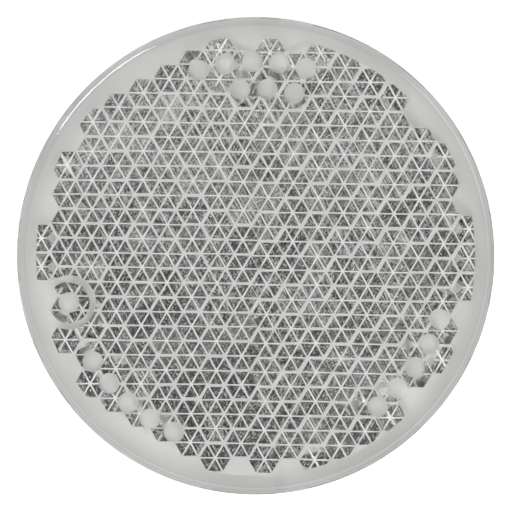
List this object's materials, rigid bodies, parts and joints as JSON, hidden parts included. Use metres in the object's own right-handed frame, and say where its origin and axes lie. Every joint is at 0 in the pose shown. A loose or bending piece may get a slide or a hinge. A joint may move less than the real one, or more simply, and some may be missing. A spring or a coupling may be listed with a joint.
{
  "type": "adhesive reflector",
  "caption": "Flat round clear reflector: a prismatic lens welded to a back cover, with adhesive foam tape under a release liner.",
  "frame": {"origin": "centre of the release liner's free face, at the back of the reflector", "axes": "+Z along the optical axis, out of the front face; +X to the right and +Y up, seen from the front"},
  "size_m": [0.06, 0.06, 0.0074],
  "materials": {
    "clear_acrylic": "clear polished moulding",
    "cover_plastic": "fine satin moulding",
    "foam": "closed-cell foam with a sharp cut edge",
    "liner_paper": "smooth silicone-coated paper"
  },
  "bodies": {
    "root": {"lens": "clear_acrylic", "back_cover": "cover_plastic", "foam_tape": "foam", "release_liner": "liner_paper"}
  },
  "joints": []
}
